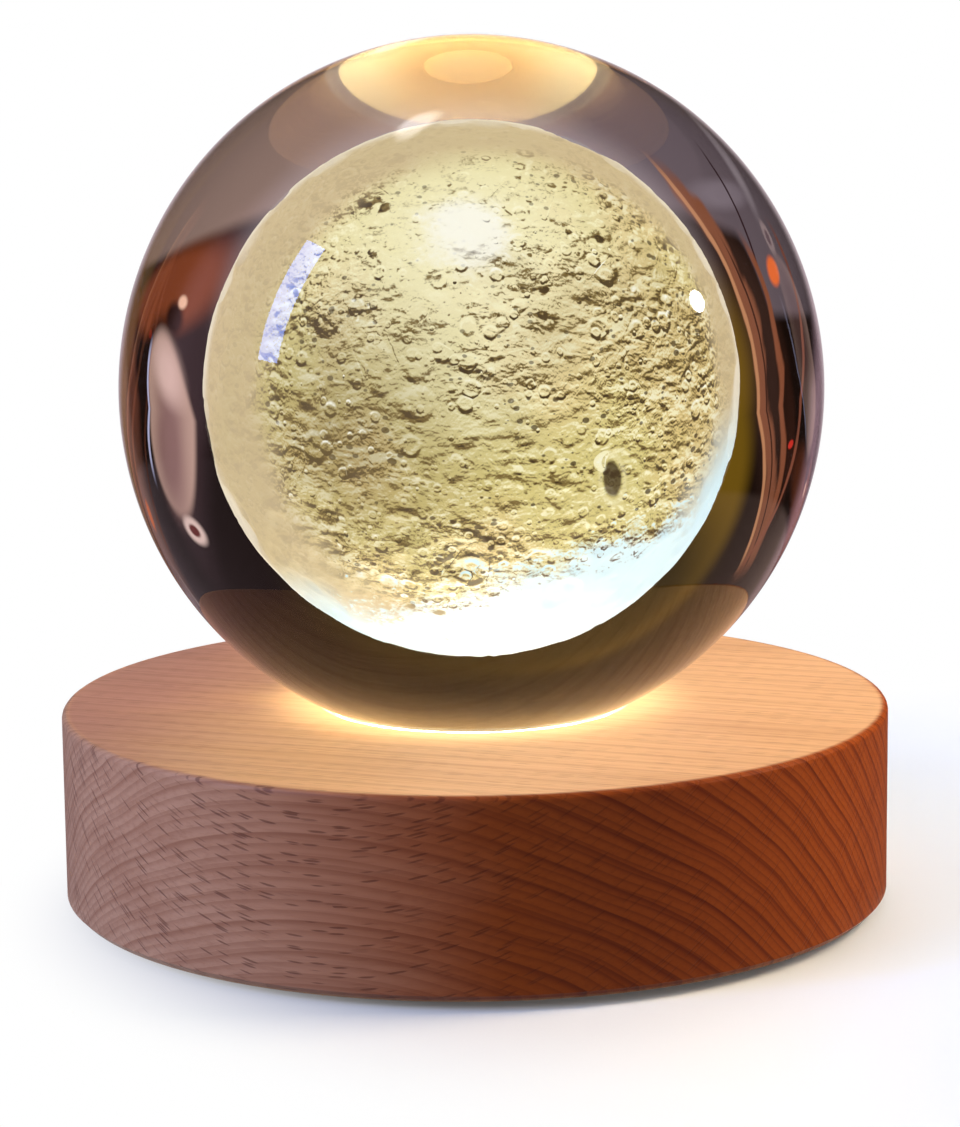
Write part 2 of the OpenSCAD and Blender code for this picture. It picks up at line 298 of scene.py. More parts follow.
# The moon's colours are all emission: painted light of the LEDs in the engraved dots.
class MoonSettings(bpy.types.PropertyGroup):
    # Painted shade in the pits and on the steepest slopes that face up.
    pit_shade_colour: FloatVectorProperty(
        name="Pits",
        description="Colour deep in the pits",
        subtype="COLOR",
        default=display(58, 40, 22),
    )
    shade_colour: FloatVectorProperty(
        name="Shaded slopes",
        description="Colour of slopes that face up, away from the light",
        subtype="COLOR",
        default=display(126, 104, 54),
    )
    plain_colour: FloatVectorProperty(
        name="Plains",
        description="Colour of level ground",
        subtype="COLOR",
        default=display(218, 203, 130),
    )
    warm_plain_colour: FloatVectorProperty(
        name="Warm plains",
        description="Second colour of level ground, in patches",
        subtype="COLOR",
        default=display(226, 200, 134),
    )
    lit_colour: FloatVectorProperty(
        name="Lit slopes",
        description="Colour of slopes that face down, to the light",
        subtype="COLOR",
        default=display(252, 245, 202),
    )
    # Painted sheen round the limb.
    limb_sheen_colour: FloatVectorProperty(
        name="Limb",
        description="Colour of the smooth band round the limb",
        subtype="COLOR",
        default=display(206, 184, 142),
    )
    # Painted light of the LEDs on the underside.
    lit_underside_colour: FloatVectorProperty(
        name="Underside",
        description="Colour of the side that faces the light",
        subtype="COLOR",
        default=display(216, 243, 250),
    )
    crater_count: IntProperty(
        name="Craters",
        description="Craters of the wide kind",
        default=200,
        min=1,
    )
    small_crater_count: IntProperty(
        name="Small craters",
        description="Finer craters between them",
        default=900,
        min=0,
    )
    crater_max: FloatProperty(
        name="Widest crater",
        description="Radius of the widest crater",
        subtype="DISTANCE",
        default=4.2 * MM,
    )
    crater_min: FloatProperty(
        name="Narrowest crater",
        description="Radius of the narrowest crater of the wide kind",
        subtype="DISTANCE",
        default=1.2 * MM,
    )
    crater_depth: FloatProperty(
        name="Crater depth",
        description="Depth of the widest crater",
        subtype="DISTANCE",
        default=0.3 * MM,
    )
    rim_height: FloatProperty(
        name="Rim height",
        description="Height of the widest crater's rim",
        subtype="DISTANCE",
        default=0.12 * MM,
    )


class BaseSettings(bpy.types.PropertyGroup):
    early_wood: FloatVectorProperty(
        name="Early wood",
        description="Pale part of a growth ring",
        subtype="COLOR",
        default=display(218, 170, 120),
    )
    late_wood: FloatVectorProperty(
        name="Late wood",
        description="Dark part of a growth ring",
        subtype="COLOR",
        default=display(178, 125, 83),
    )
    fleck: FloatVectorProperty(
        name="Flecks",
        description="Colour of the short flecks of beech",
        subtype="COLOR",
        default=display(104, 58, 36),
    )
    # Painted light at the side's left, where the light falls, as well as oil.
    oil_pale_painted_light: FloatVectorProperty(
        name="Oil, pale part",
        description="What the oil does to the colour of the side where it is palest",
        subtype="COLOR",
        default=(0.8, 0.75, 1.0),
    )
    # Painted shade on the side, as well as oil.
    oil_dark_painted_shade: FloatVectorProperty(
        name="Oil, dark part",
        description="What the oil does to the colour of the side where it is darkest",
        subtype="COLOR",
        default=(0.38, 0.123, 0.018),
    )
    # Warm painted shade on the side's right, as well as oil.
    oil_red_painted_shade: FloatVectorProperty(
        name="Oil, red part",
        description="What the oil does to the colour of the side at its right",
        subtype="COLOR",
        default=(0.51, 0.178, 0.03),
    )
    # Painted shade on the top's left, darker and pinker.
    top_left_shade: FloatVectorProperty(
        name="Heart",
        description="What the heart of the board does to the colour at the left",
        subtype="COLOR",
        default=(0.63, 0.55, 0.84),
    )
    bore_wood: FloatVectorProperty(
        name="Bare wood",
        description="Colour of the bare wood in the light well",
        subtype="COLOR",
        default=(0.88, 0.77, 0.55),
    )
    spill: FloatVectorProperty(
        name="Spilt light",
        description="Light of the well on the top of the base, at the ball's foot",
        subtype="COLOR",
        default=(1.0, 0.6, 0.22),
    )
    bore_glow: FloatVectorProperty(
        name="Glow in the well",
        description="Light that the frosted window scatters onto the wall of the well",
        subtype="COLOR",
        default=(1.9, 0.88, 0.04),
    )
    bore_glow_side: FloatVectorProperty(
        name="Glow at the sides",
        description="The same light at the left and right of the well",
        subtype="COLOR",
        default=(1.7, 1.4, 0.68),
    )
    fibre_turn: FloatProperty(
        name="Fibre direction",
        description="How far the fibres are turned from X, seen from above",
        subtype="ANGLE",
        default=math.radians(-20),
    )
    ring_slope: FloatProperty(
        name="Ring slope",
        description="How far the growth rings slope down to the back",
        subtype="ANGLE",
        default=math.radians(49),
    )
    ring_pitch: FloatProperty(
        name="Ring pitch",
        description="Width of a growth ring",
        subtype="DISTANCE",
        default=2.3 * MM,
    )
    pith_distance: FloatProperty(
        name="Pith distance",
        description="From the middle of the base to the middle of the trunk",
        subtype="DISTANCE",
        default=320 * MM,
    )


class LightSettings(bpy.types.PropertyGroup):
    warm: FloatVectorProperty(
        name="Light colour",
        description="Colour of the light in the middle of the frosted window",
        subtype="COLOR",
        default=(1.0, 0.86, 0.52),
    )
    edge: FloatVectorProperty(
        name="Edge colour",
        description="Colour of the light at the window's edge, beyond the LEDs",
        subtype="COLOR",
        default=(0.033, 0.018, 0.004),
    )
    strength: FloatProperty(
        name="Light strength",
        description="How brightly the window glows",
        default=150.0,
        min=0.0,
    )


class StudioSettings(bpy.types.PropertyGroup):
    floor_colour: FloatVectorProperty(
        name="Floor",
        description="Colour of the floor",
        subtype="COLOR",
        default=(0.86, 0.865, 0.835),
    )
    # Painted shade on the floor at the right, darker and bluer against the warm lamp.
    floor_right_shade: FloatVectorProperty(
        name="Floor, at the right",
        description="Colour of the floor under the warm lamp, where it looks as neutral",
        subtype="COLOR",
        default=(0.62, 0.72, 0.88),
    )
    camera_distance: FloatProperty(
        name="Camera distance",
        description="From the camera to the point that it looks at",
        subtype="DISTANCE",
        default=0.4,
    )
    camera_pitch: FloatProperty(
        name="Camera pitch",
        description="How far the camera looks down",
        subtype="ANGLE",
        default=math.radians(10.1),
    )
    camera_roll: FloatProperty(
        name="Camera roll",
        description="How far the camera leans",
        subtype="ANGLE",
        default=math.radians(-0.62),
    )
    camera_lens: FloatProperty(
        name="Lens",
        description="Focal length of the camera, in millimetres",
        default=111.2,
    )


# -------- crystal ball

BALL_CUTS = 79
# Streaks in the melt, as their number in a metre: they are wider than high.
STREAKS = (30, 30, 90)


class LAMP_OT_crystal_ball(bpy.types.Operator):
    """Polished solid crystal ball"""

    bl_idname = "moon_lamp.crystal_ball"
    bl_label = "Crystal Ball"

    def execute(self, context):
        look = context.scene.moon_lamp_crystal
        crystal = Finish(
            "crystal", roughness=0.0, ior=look.refraction, transmission_weight=1.0
        )
        melt = crystal.vector("MULTIPLY", crystal.place(), STREAKS)
        streak = crystal.noise(melt, 1.0, 2.0)
        crystal.set(base_color=crystal.mix(streak, look.tint, look.streak))
        add_round(BALL_RADIUS, BALL_CUTS)
        ball = finished("polished_ball", "ball", ["crystal_ball"], crystal)
        # The lamps and the lit moon shine through it onto the wood.
        ball.visible_shadow = False
        return {"FINISHED"}


# -------- engraved moon

# Steps of low-discrepancy sequences: they scatter the craters without clumps or rows.
HEIGHT_STEP = 0.7548776662
TURN_STEP = 0.5698402910
SIZE_STEP = 0.6180339887
# Where each kind of crater starts in the sequences, and how far its sizes lean to small.
WIDE_START, WIDE_SKEW = 1, 4
SMALL_START, SMALL_SKEW = 1000, 3
SMALLEST_CRATER = 0.34 * MM
MOON_CUTS = 119
# How far up and down heights are compared, to tell which way a slope faces.
CRATER_SHIFT = 0.16 * MM
GROUND_SHIFT = 0.08 * MM
# Fine ground, as scale and share of the height: wrinkles, swells and four sizes of bowls.
WRINKLES = (480.0, 7.0)
SWELLS = (150.0, 16.0)
BOWLS = ((240.0, 3.0), (420.0, 2.4), (720.0, 1.5), (1250.0, 0.7))
PIT_SCALE = 980.0
# Directions from the moon's middle to its marks.
HIGH_GROUND = (-0.02, -0.66, 0.75)
DIM_GROUND = (-0.55, -0.82, -0.12)
PALE_MIDDLE = (-0.05, -0.95, 0.2)
BRIGHT_SPOT = (-0.02, -0.63, 0.775)
DEEP_PIT = (0.6, -0.73, -0.3)
# Half sizes of the deep pit, as shares of the moon's radius.
DEEP_PIT_SIZE = (0.034, 1, 0.074)
BRIGHT_COLOUR = display(255, 253, 240)
# Painted highlight on the moon's outline.
LIMB_HIGHLIGHT_COLOUR = display(246, 238, 220)


def crater_list(first, count, narrow, wide, skew):
    """The unit vector to each crater's middle, and each crater's radius."""
    i = np.arange(first, first + count)
    z = 1 - 2 * ((i * HEIGHT_STEP) % 1)
    turn = 2 * np.pi * ((i * TURN_STEP) % 1)
    across = np.sqrt(1 - z * z)
    middle = np.stack([across * np.cos(turn), across * np.sin(turn), z], 1)
    radius = narrow + (wide - narrow) * ((i * SIZE_STEP) % 1) ** skew
    return middle, radius


def crater_relief(directions, look, moon_radius):
    """Height over the plain in each direction, from all the craters."""
    relief = np.zeros(len(directions))
    wide = crater_list(
        WIDE_START, look.crater_count, look.crater_min, look.crater_max, WIDE_SKEW
    )
    small = crater_list(
        SMALL_START, look.small_crater_count, SMALLEST_CRATER, look.crater_min, SMALL_SKEW
    )
    middles, radii = [np.concatenate(pair) for pair in zip(wide, small)]
    for middle, radius in zip(middles, radii):
        # A crater and its rim end two radii from its middle.
        inside = directions @ middle > 1 - 2.2 * (radius / moon_radius) ** 2
        near = np.nonzero(inside)[0]
        t = np.linalg.norm(directions[near] - middle, axis=1) * moon_radius / radius
        share = math.sqrt(radius / look.crater_max)
        bowl = look.rim_height * t**4 - look.crater_depth * (1 - t**4)
        rim = look.rim_height * np.clip(2 - t, 0, 2) ** 2
        relief[near] += share * np.where(t < 1, bowl, rim)
    return relief


def unit(vectors):
    return vectors / np.linalg.norm(vectors, axis=1)[:, None]


class LAMP_OT_engraved_moon(bpy.types.Operator):
    """Moon engraved within the crystal, cratered and lit from below"""

    bl_idname = "moon_lamp.engraved_moon"
    bl_label = "Engraved Moon"

    def execute(self, context):
        look = context.scene.moon_lamp_moon
        low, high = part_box("engraved_moon")
        radius = (high.z - low.z) / 2
        mesh = add_round(radius, MOON_CUTS).data
        points = np.zeros(len(mesh.vertices) * 3)
        mesh.vertices.foreach_get("co", points)
        ways = unit(points.reshape(-1, 3))
        relief = crater_relief(ways, look, radius)
        height = np.minimum(radius, radius - look.rim_height + relief)
        mesh.vertices.foreach_set("co", (ways * height[:, None]).ravel())
        # How much each slope faces down: the height just above a point less that below it.
        shift = np.array([0, 0, CRATER_SHIFT / radius])
        above, below = [crater_relief(unit(ways + s), look, radius) for s in (shift, -shift)]
        slope = (above - below) / (2 * CRATER_SHIFT)
        # It sets the painted shade and light of the wide craters.
        facing_down = mesh.attributes.new("facing_down", "FLOAT", "POINT")
        facing_down.data.foreach_set("value", slope.astype(np.float32))
        mesh.update()
        moon = finished(
            "cratered_moon", "ball", ["engraved_moon"], Engraving(look)
        )
        # Light passes between the engraved dots.
        moon.visible_shadow = False
        return {"FINISHED"}


class Engraving(Finish):
    """The lit moon, all in emission: painted light of the LEDs, with painted shade and light on
    slopes that the light below strikes or misses, marks, and a limb with painted sheen.
    """

    def __init__(self, look):
        super().__init__("engraving", roughness=0.75, base_color=(0.015, 0.014, 0.01))
        self.look = look
        self.point = self.vector("SUBTRACT", self.place(), tuple(BALL_CENTRE))
        self.way = self.vector("NORMALIZE", self.point)
        self.high = self.spot(HIGH_GROUND, 0.6)
        self.dim = self.spot(DIM_GROUND, 0.5)
        self.ragged = self.noise(self.point, 220.0, 5.0, 0.7)
        self.slope = self.facing_light()
        colour = self.relief(self.plains())
        colour = self.pits(colour)
        colour = self.marks(colour)
        colour = self.limb(colour)
        # The moon's colour is emission: painted light of the LEDs in the engraved dots.
        self.set(emission_color=colour, emission_strength=1.0)

    def spot(self, at, radius, soft=0.9):
        """1 within a soft round patch of the moon, given by its direction and radius."""
        away = self.vector("DISTANCE", self.way, Vector(at).normalized(), output=1)
        return self.step(away, radius * (1 - soft), radius * (1 + soft), 1.0, 0.0)

    def ground(self, place):
        """Height of the fine ground: wrinkles, swells and bowls with rims."""
        long = self.vector("MULTIPLY", place, (1.0, 1.0, 1.7))
        height = WRINKLES[1] * self.noise(long, WRINKLES[0], 5.0, 0.68, 0.3)
        height = height + SWELLS[1] * self.noise(long, SWELLS[0], 3.0, 0.5, 0.4)
        for scale, share in BOWLS:
            cells = self.cells(place, scale)
            chance = self.parts(cells.other("Color"))[0]
            away = cells / self.step(chance, 0.25, 1.0, 0.02, 0.46)
            bowl = self.step(away, 0.6, 0.96, -share, share * 0.25)
            height = height + bowl * self.step(away, 1.5, 1.0)
        return height

    def facing_light(self):
        """How much the ground faces down: less on the high ground, more on the dim."""
        up = (0.0, 0.0, GROUND_SHIFT)
        above = self.ground(self.vector("ADD", self.point, up))
        below = self.ground(self.vector("SUBTRACT", self.point, up))
        fine = above - below
        broad = self.node("Attribute", output=2, attribute_name="facing_down")
        rough = self.step(self.noise(self.point, 80.0, 3.0), 0.38, 0.62, 0.55, 1.2)
        slope = fine * rough * 1.1 + broad * 1.25
        return slope * (1 - 0.5 * self.high + 0.4 * self.dim)

    def plains(self):
        """Level ground in two tones, paler at the top and in the middle."""
        look = self.look
        warm = self.step(self.noise(self.point, 70.0, 2.0), 0.4, 0.62)
        plain = self.mix(warm, look.plain_colour, look.warm_plain_colour)
        plain = self.mix(self.high * 0.85, plain, look.lit_colour)
        middle = self.spot(PALE_MIDDLE, 0.3)
        return self.mix(middle * 0.3, plain, look.lit_colour)

    def relief(self, plain):
        """Painted shade and light: slopes that face up, away from the light below, are dark, and
        slopes that face down are pale.
        """
        look = self.look
        level = self.step(self.slope, -0.6, -0.04)
        colour = self.mix(level, look.shade_colour, plain)
        lit = self.step(self.slope, 0.08, 0.8)
        colour = self.mix(lit * 0.9, colour, look.lit_colour)
        # Painted shade in the pit colour on the steepest slopes that face up.
        steep = self.step(self.slope, -0.65, -1.15)
        return self.mix(steep, colour, look.pit_shade_colour)

    def pits(self, colour):
        """Small, deep pits in swarms, with painted shade in them."""
        place = self.vector("MULTIPLY", self.point, (1.0, 1.0, 1.4))
        cells = self.cells(place, PIT_SCALE)
        size = self.step(self.parts(cells.other("Color"))[1], 0.3, 1.0, 0.0, 0.38)
        swarm = self.step(self.noise(self.point, 120.0, 2.0), 0.4, 0.58, 0.3, 1.0)
        size = size * swarm * (1 - 0.4 * self.high + 0.25 * self.dim)
        pits = self.step(cells - size, 0.03, -0.05)
        return self.mix(pits * (0.85 - 0.35 * self.high), colour, self.look.pit_shade_colour)

    def marks(self, colour):
        """Darker plains of old lava, the dim ground, a bright spot and one deep pit, with
        painted shade in it and painted light on its wall.
        """
        look = self.look
        lava = self.step(self.noise(self.point, 55.0, 4.0, 0.55), 0.45, 0.7)
        colour = self.mix(lava * 0.3, colour, look.shade_colour)
        colour = self.mix(self.dim * 0.5, colour, look.shade_colour)
        bright = self.spot(BRIGHT_SPOT, 0.2)
        bright = bright + self.slope * 0.3 + (self.ragged - 0.5) * 1.2
        colour = self.mix(self.step(bright, 0.25, 0.95) * 0.85, colour, BRIGHT_COLOUR)
        pit = self.vector("SUBTRACT", self.way, Vector(DEEP_PIT).normalized())
        pit = self.vector("DIVIDE", pit, DEEP_PIT_SIZE)
        oval = self.vector("LENGTH", pit, output=1)
        # Painted shade in the deep pit, and painted light on its wall.
        colour = self.mix(self.step(oval, 1.25, 0.9) * 0.9, colour, look.pit_shade_colour)
        wall = self.step(oval, 1.1, 1.4) * self.step(oval, 1.9, 1.5)
        return self.mix(wall * 0.3, colour, look.lit_colour)

    def limb(self, colour):
        """Painted sheen in the band where the dots run together, a painted highlight on the
        outline, and painted light on the underside, which is brightest.
        """
        look = self.look
        x, _, z = self.parts(self.way)
        facing = self.node("LayerWeight", {"Blend": 0.5, "Normal": self.way}, 1)
        # Painted sheen: where the dots are seen edge-on they run together.
        band = self.step(facing - x * 0.13, 0.4, 0.6)
        colour = self.mix(band * 0.9, colour, look.limb_sheen_colour)
        # Painted highlight on the outline.
        limb_highlight = self.step(facing, 0.8, 0.95)
        colour = self.mix(limb_highlight * 0.6, colour, LIMB_HIGHLIGHT_COLOUR)
        # Painted light of the LEDs on the lower limb and the underside.
        low = self.step(facing, 0.5, 0.8) * self.step(z - x * 0.35, -0.35, -0.75)
        colour = self.mix(low, colour, look.lit_underside_colour)
        underside_light = z - x * 0.3 + self.ragged * 0.3 - self.slope * 0.07
        return self.mix(self.step(underside_light, -0.56, -0.68), colour, look.lit_underside_colour)


# -------- wooden base

# Sizes of the wood's patterns: along the fibres, and twice across them.
DRIFT_SIZE = (90 * MM, 24 * MM, 24 * MM)
FIBRE_SIZE = (22 * MM, 0.5 * MM, 0.5 * MM)
CLOUD_SIZE = (60 * MM, 9 * MM, 9 * MM)
# Size of a ray fleck: along the fibres, away from the pith and round the pith.
RAY_SIZE = (2.8 * MM, 9.0 * MM, 0.24 * MM)
RING_DRIFT = 3.0 * MM
# Width of the thin rings, as a share of a growth ring.
THIN_RING = 0.37
# Radii at the well: where its bare wood ends, and where the light spilt on the top does.
BARE_RADIUS = (18.2 * MM, 17.6 * MM)
SPILL_RADIUS = (32 * MM, 17 * MM)


class LAMP_OT_wooden_base(bpy.types.Operator):
    """Turned beech base with its growth rings, fibres and flecks"""

    bl_idname = "moon_lamp.wooden_base"
    bl_label = "Wooden Base"

    def execute(self, context):
        dress(Beech(context.scene.moon_lamp_base), "wood_base")
        return {"FINISHED"}


class Beech(Finish):
    """Beech, oiled on its turned side, with painted light and shade on the side, painted shade
    on the top's left, and a bare, lit well.
    """

    def __init__(self, look):
        super().__init__("beech", ior=1.5, specular_ior_level=0.3)
        self.look = look
        self.x, self.y, self.z = self.parts(self.place())
        self.rim = (self.x * self.x + self.y * self.y).root()
        self.turned_side = self.step(self.rim, WOOD_RADIUS - 1.1 * MM, WOOD_RADIUS - 0.3 * MM)
        self.lay_out()
        self.cloud = self.noise(self.stretched(CLOUD_SIZE), 1.0, 3.0)
        fibre = self.noise(self.stretched(FIBRE_SIZE), 1.0, 5.0, 0.65)
        ray = self.rays()
        colour = self.rings()
        colour = self.mix(self.step(fibre, 0.4, 0.8) * 0.45, colour, look.late_wood)
        shown = 0.22 + 0.33 * self.turned_side * self.step(self.x, 22 * MM, -14 * MM)
        colour = self.mix(ray * shown, colour, look.fleck)
        cloudy = self.step(self.cloud, 0.45, 0.75)
        colour = self.mix(cloudy * 0.3, colour, look.late_wood)
        colour = self.tones(colour)
        bare = self.step(self.rim, *BARE_RADIUS)
        self.set(
            base_color=self.mix(bare, colour, look.bore_wood),
            roughness=0.4 + 0.2 * fibre,
            normal=self.bump(fibre * 0.7 - ray * 0.9, 0.05 * MM, 0.6),
            emission_color=self.glow(bare),
            emission_strength=1.0,
        )

    def lay_out(self):
        """The wood's own directions: along the fibres, away from the pith and round it."""
        look = self.look
        along_way = Vector((math.cos(look.fibre_turn), math.sin(look.fibre_turn), 0))
        back = Vector((-along_way.y, along_way.x, 0))
        up = Vector((0, 0, 1))
        sine, cosine = math.sin(look.ring_slope), math.cos(look.ring_slope)
        self.along, out, side = [
            self.vector("DOT_PRODUCT", self.place(), way, output=1)
            for way in (along_way, back * sine + up * cosine, back * cosine - up * sine)
        ]
        self.across = self.combined(self.along, out, side)
        self.drift = self.noise(self.stretched(DRIFT_SIZE), 1.0, 2.0)
        out = out + look.pith_distance
        self.distance = (out * out + side * side).root() + self.drift * RING_DRIFT
        self.turn = side.math("ARCTAN2", side, out) * look.pith_distance

    def combined(self, *values):
        return self.node("CombineXYZ", dict(enumerate(values)))

    def stretched(self, size):
        """Place in the wood, with a pattern's size along and across the fibres."""
        return self.vector("DIVIDE", self.across, size)

    def rings(self):
        """Growth rings with thin rings in them, as dark lines on the right of the side."""
        look = self.look
        ring = (self.distance / look.ring_pitch).fraction()
        late = self.step(ring, 0.55, 0.95) * self.step(ring, 1.0, 0.98)
        thin = self.distance / (THIN_RING * look.ring_pitch) + self.drift * 2.0
        thin = thin.fraction()
        right = self.turned_side * self.step(self.x, -10 * MM, 25 * MM)
        dark = late * (0.35 + 0.45 * right)
        dark = dark + self.step(thin, 0.3, 0.95) * (0.1 + 0.35 * self.turned_side)
        colour = self.mix(dark, look.early_wood, look.late_wood)
        line = self.step(ring, 0.8, 0.96) * self.step(ring, 1.0, 0.97)
        line = line + self.step(thin, 0.72, 0.92) * 0.6
        line = line * self.turned_side * self.step(self.x, -6 * MM, 22 * MM)
        return self.mix(line * 0.38, colour, look.fleck)

    def rays(self):
        """1 on the rays: thin sheets from the pith outwards, cut into short flecks."""
        ways = (self.along, self.distance, self.turn)
        place = self.combined(*[way / size for way, size in zip(ways, RAY_SIZE)])
        chosen = self.parts(self.cells(place, 1.0, "Color"))[0]
        ray = self.step(self.cells(place, 1.0), 0.46, 0.26)
        return ray * self.step(chosen, 0.45, 0.7)

    def uneven(self, value, spread):
        """A distance whose contours are ragged by some millimetres."""
        return value + (self.cloud - 0.5) * (spread * MM)

    def tones(self, colour):
        """The side is oiled, unevenly, with painted light at its left, painted shade past the
        middle and a warm painted shade at the right. The top has painted shade at its left,
        darker and pinker.
        """
        look = self.look
        # Painted light and shade on the side, with the oil: pale at the left, darkest past the
        # middle, red at the right.
        dark = self.step(self.uneven(self.x, 20), -42 * MM, 6 * MM)
        oil = self.mix(dark, look.oil_pale_painted_light, look.oil_dark_painted_shade)
        red = self.step(self.uneven(self.x, 16), 14 * MM, 40 * MM)
        oil = self.mix(red, oil, look.oil_red_painted_shade)
        colour = self.mix(self.turned_side, colour, self.mix(1.0, colour, oil, "MULTIPLY"))
        # Painted shade on the top's left.
        top_left_shade = self.step(self.uneven(self.x - self.y * 0.35, 24), -6 * MM, -44 * MM)
        top_shaded = self.mix(1.0, colour, look.top_left_shade, "MULTIPLY")
        return self.mix(top_left_shade * (1 - self.turned_side), colour, top_shaded)

    def glow(self, bare):
        """Light of the window: spilt on the top at the ball's foot, and on the well's wall."""
        look = self.look
        spill = self.step(self.rim, *SPILL_RADIUS) ** 3
        spill = spill * self.step(self.z, WOOD_TOP - 1.2 * MM, WOOD_TOP)
        glow = self.mix(spill, (0.0, 0.0, 0.0), look.spill)
        sides = self.step(self.x * self.x, (5 * MM) ** 2, (13 * MM) ** 2)
        wall_glow = self.mix(sides, look.bore_glow, look.bore_glow_side)
        wall = bare * self.step(self.z, WOOD_TOP - 0.5 * MM, WOOD_TOP - 1.1 * MM)
        return self.mix(wall, glow, wall_glow)


# -------- light

# Where the light of the LEDs fades on the window, as shares of its radius.
LED_GLOW = (0.451, 0.732)


class LAMP_OT_light(bpy.types.Operator):
    """Frosted window, reflector, LED board and what is on it"""

    bl_idname = "moon_lamp.light"
    bl_label = "Light"

    def execute(self, context):
        look = context.scene.moon_lamp_light
        window = Finish("frosted_window", roughness=0.5, base_color=(0.9, 0.88, 0.8))
        x, y = window.parts(window.place())[:2]
        edge = window.step((x * x + y * y).root() / WINDOW_RADIUS, *LED_GLOW)
        glow = window.mix(edge, look.warm, look.edge)
        window.set(emission_color=glow, emission_strength=look.strength)
        dress(window, "light_window")
        white = speckled("white_plastic", 700.0, (0.82, 0.82, 0.8), (0.9, 0.9, 0.88), 0.25, 0.12)
        dress(white, "light_reflector")
        board = speckled("white_board", 900.0, (0.8, 0.8, 0.78), (0.9, 0.9, 0.88), 0.45)
        dress(board, "led_board")
        chip = speckled("led_phosphor", 3000.0, (0.88, 0.68, 0.2), (0.94, 0.8, 0.36), 0.35)
        chip.set(emission_color=look.warm, emission_strength=4.0)
        dress(chip, "led_chips")
        black = speckled("black_component", 4000.0, (0.01, 0.01, 0.01), (0.03, 0.03, 0.03), 0.5)
        dress(black, "led_resistors", "inlet_resistors")
        return {"FINISHED"}


# -------- power inlet


class LAMP_OT_power(bpy.types.Operator):
    """Inlet board, socket, leads, solder and screws"""

    bl_idname = "moon_lamp.power"
    bl_label = "Power Inlet"

    def execute(self, context):
        board = Finish("green_board", roughness=0.35)
        trace = board.cells(board.place(), 700.0, feature="DISTANCE_TO_EDGE")
        between = board.step(trace, 0.05, 0.08)
        board.set(base_color=board.mix(between, (0.02, 0.2, 0.08), (0.01, 0.09, 0.04)))
        dress(board, "inlet_board")
        steel = Finish("socket_steel", metallic=1.0)
        drawn = steel.vector("MULTIPLY", steel.place(), (900, 200, 900))
        smear = steel.noise(drawn, 1.0)
        steel.set(
            base_color=steel.mix(smear, (0.55, 0.55, 0.56), (0.72, 0.72, 0.73)),
            roughness=0.22 + 0.2 * smear,
        )
        dress(steel, "usb_shell")
        zinc = speckled(
            "zinc_screw", 1800.0, (0.5, 0.5, 0.5), (0.7, 0.7, 0.68), 0.25, 0.2, metallic=1.0
        )
        dress(zinc, "led_board_screws", "inlet_screws")
        solder = speckled(
            "solder", 2500.0, (0.6, 0.6, 0.6), (0.75, 0.75, 0.76), 0.15, 0.25, metallic=1.0
        )
        dress(solder, "solder_joints")
        gold = speckled(
            "gold_contact", 3000.0, (0.8, 0.55, 0.2), (0.9, 0.68, 0.32), 0.2, 0.15, metallic=1.0
        )
        dress(gold, "usb_contacts")
        for name, dark, light in (
            ("red", (0.3, 0.01, 0.01), (0.42, 0.02, 0.015)),
            ("black", (0.008, 0.008, 0.008), (0.02, 0.02, 0.02)),
        ):
            lead = speckled(name + "_insulation", 600.0, dark, light, 0.3, 0.15)
            dress(lead, "lead_" + name)
        return {"FINISHED"}


# -------- underside


class LAMP_OT_underside(bpy.types.Operator):
    """Bottom cover, its screws, the foot pads and the socket's tongue"""

    bl_idname = "moon_lamp.underside"
    bl_label = "Underside"

    def execute(self, context):
        plastic = Finish("black_plastic")
        grain = plastic.noise(plastic.place(), 2600.0, 4.0, 0.6)
        cloud = plastic.noise(plastic.place(), 60.0)
        plastic.set(
            base_color=plastic.mix(cloud, (0.012, 0.012, 0.012), (0.022, 0.022, 0.023)),
            roughness=0.42 + 0.25 * grain,
            normal=plastic.bump(grain, 0.04 * MM, 0.7),
        )
        dress(plastic, "bottom_cover", "usb_tongue")
        oxide = speckled(
            "black_screw", 1500.0, (0.02, 0.02, 0.02), (0.07, 0.07, 0.07), 0.3, 0.2, metallic=0.8
        )
        dress(oxide, "cover_screws")
        rubber = Finish("foot_rubber")
        dust = rubber.noise(rubber.place(), 1200.0, 4.0)
        rubber.set(
            base_color=rubber.mix(dust, (0.02, 0.02, 0.02), (0.05, 0.05, 0.048)),
            roughness=0.75 + 0.15 * dust,
            normal=rubber.bump(dust, 0.05 * MM, 0.5),
        )
        dress(rubber, "foot_pads")
        return {"FINISHED"}


# -------- studio

# The point that the camera looks at.
LOOK_AT = Vector((0.76 * MM, 0.0, WOOD_TOP + 15.8 * MM))
SENSOR_WIDTH = 36.0
FLOOR_RADIUS = 12.0
# The floor turns white between these distances. To the right they are further away.
FADE = (0.045, 0.09)
FADE_LEAN = 0.6
# Where the floor takes on its painted shade at the right, darker and bluer against the warm
# lamp.
RIGHT_SHADE_SPAN = (20 * MM, 60 * MM)
ROOM_RADIUS = 1.4
# The room's floor lies just over the real one, with a hole as a share of its radius.
ROOM_FLOOR = 0.3 * MM
ROOM_HOLE = 0.0352
# A curved shape of the room is given by its turns at this rise below, at and above 0.
STROKE_RISE = 20


def aim(piece, target):
    """Turns a lamp to look at a point."""
    way = Vector(target) - piece.location
    piece.rotation_euler = way.to_track_quat("-Z", "Y").to_euler()


def seen_rays(finish):
    """1 for rays that show a surface to the camera, also by way of glass or gloss."""
    camera, glossy, through = [
        finish.node("LightPath", output=name)
        for name in ("Is Camera Ray", "Is Glossy Ray", "Is Transmission Ray")
    ]
    return camera.higher(glossy).higher(through)


